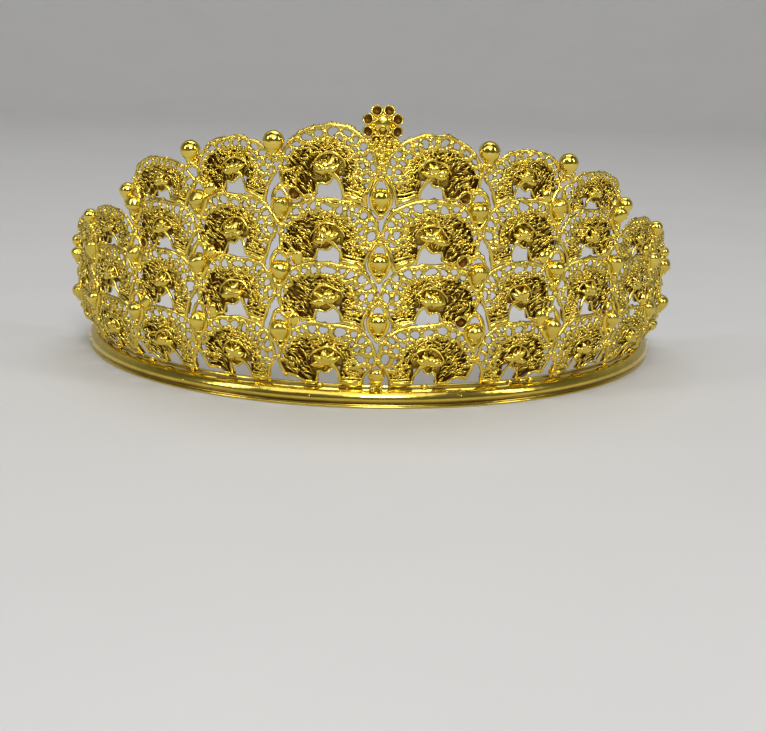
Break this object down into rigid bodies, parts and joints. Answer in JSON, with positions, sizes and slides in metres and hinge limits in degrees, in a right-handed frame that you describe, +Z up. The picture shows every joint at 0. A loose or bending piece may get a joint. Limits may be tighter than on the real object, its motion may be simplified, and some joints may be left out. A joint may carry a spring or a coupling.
{
  "type": "filigree tiara",
  "caption": "Gilt openwork tiara: half-round base band, tiers of pierced fan plates stepping down to the sides, polished beads between them and a flower finial over the centre.",
  "frame": {"origin": "centre of the bounding box's footprint, at the underside of the base band", "axes": "+Z up, -Y the front of the tiara, +X to the right of someone looking at the front; the band is open towards +Y"},
  "size_m": [0.1436, 0.0824, 0.0607],
  "materials": {
    "filigree_gold": "gilt, polished",
    "band_gold": "gilt, polished",
    "bead_gold": "gilt, mirror polished"
  },
  "bodies": {
    "root": {"base_band": "band_gold", "centre_bead_1": "bead_gold", "centre_bead_2": "bead_gold", "centre_bead_3": "bead_gold", "centre_bead_4": "bead_gold", "fan_left_1_tier_1": "filigree_gold", "fan_left_1_tier_2": "filigree_gold", "fan_left_1_tier_3": "filigree_gold", "fan_left_1_tier_4": "filigree_gold", "fan_left_2_tier_1": "filigree_gold", "fan_left_2_tier_2": "filigree_gold", "fan_left_2_tier_3": "filigree_gold", "fan_left_2_tier_4": "filigree_gold", "fan_left_3_tier_1": "filigree_gold", "fan_left_3_tier_2": "filigree_gold", "fan_left_3_tier_3": "filigree_gold", "fan_left_3_tier_4": "filigree_gold", "fan_left_4_tier_1": "filigree_gold", "fan_left_4_tier_2": "filigree_gold", "fan_left_4_tier_3": "filigree_gold", "fan_left_5_tier_1": "filigree_gold", "fan_left_5_tier_2": "filigree_gold", "fan_left_5_tier_3": "filigree_gold", "fan_left_6_tier_1": "filigree_gold", "fan_left_6_tier_2": "filigree_gold", "fan_right_1_tier_1": "filigree_gold", "fan_right_1_tier_2": "filigree_gold", "fan_right_1_tier_3": "filigree_gold", "fan_right_1_tier_4": "filigree_gold", "fan_right_2_tier_1": "filigree_gold", "fan_right_2_tier_2": "filigree_gold", "fan_right_2_tier_3": "filigree_gold", "fan_right_2_tier_4": "filigree_gold", "fan_right_3_tier_1": "filigree_gold", "fan_right_3_tier_2": "filigree_gold", "fan_right_3_tier_3": "filigree_gold", "fan_right_3_tier_4": "filigree_gold", "fan_right_4_tier_1": "filigree_gold", "fan_right_4_tier_2": "filigree_gold", "fan_right_4_tier_3": "filigree_gold", "fan_right_5_tier_1": "filigree_gold", "fan_right_5_tier_2": "filigree_gold", "fan_right_5_tier_3": "filigree_gold", "fan_right_6_tier_1": "filigree_gold", "fan_right_6_tier_2": "filigree_gold", "flower_finial": "filigree_gold", "top_bead_left_1": "bead_gold", "top_bead_left_2": "bead_gold", "top_bead_left_3": "bead_gold", "top_bead_left_4": "bead_gold", "top_bead_left_5": "bead_gold", "top_bead_right_1": "bead_gold", "top_bead_right_2": "bead_gold", "top_bead_right_3": "bead_gold", "top_bead_right_4": "bead_gold", "top_bead_right_5": "bead_gold"}
  },
  "joints": []
}
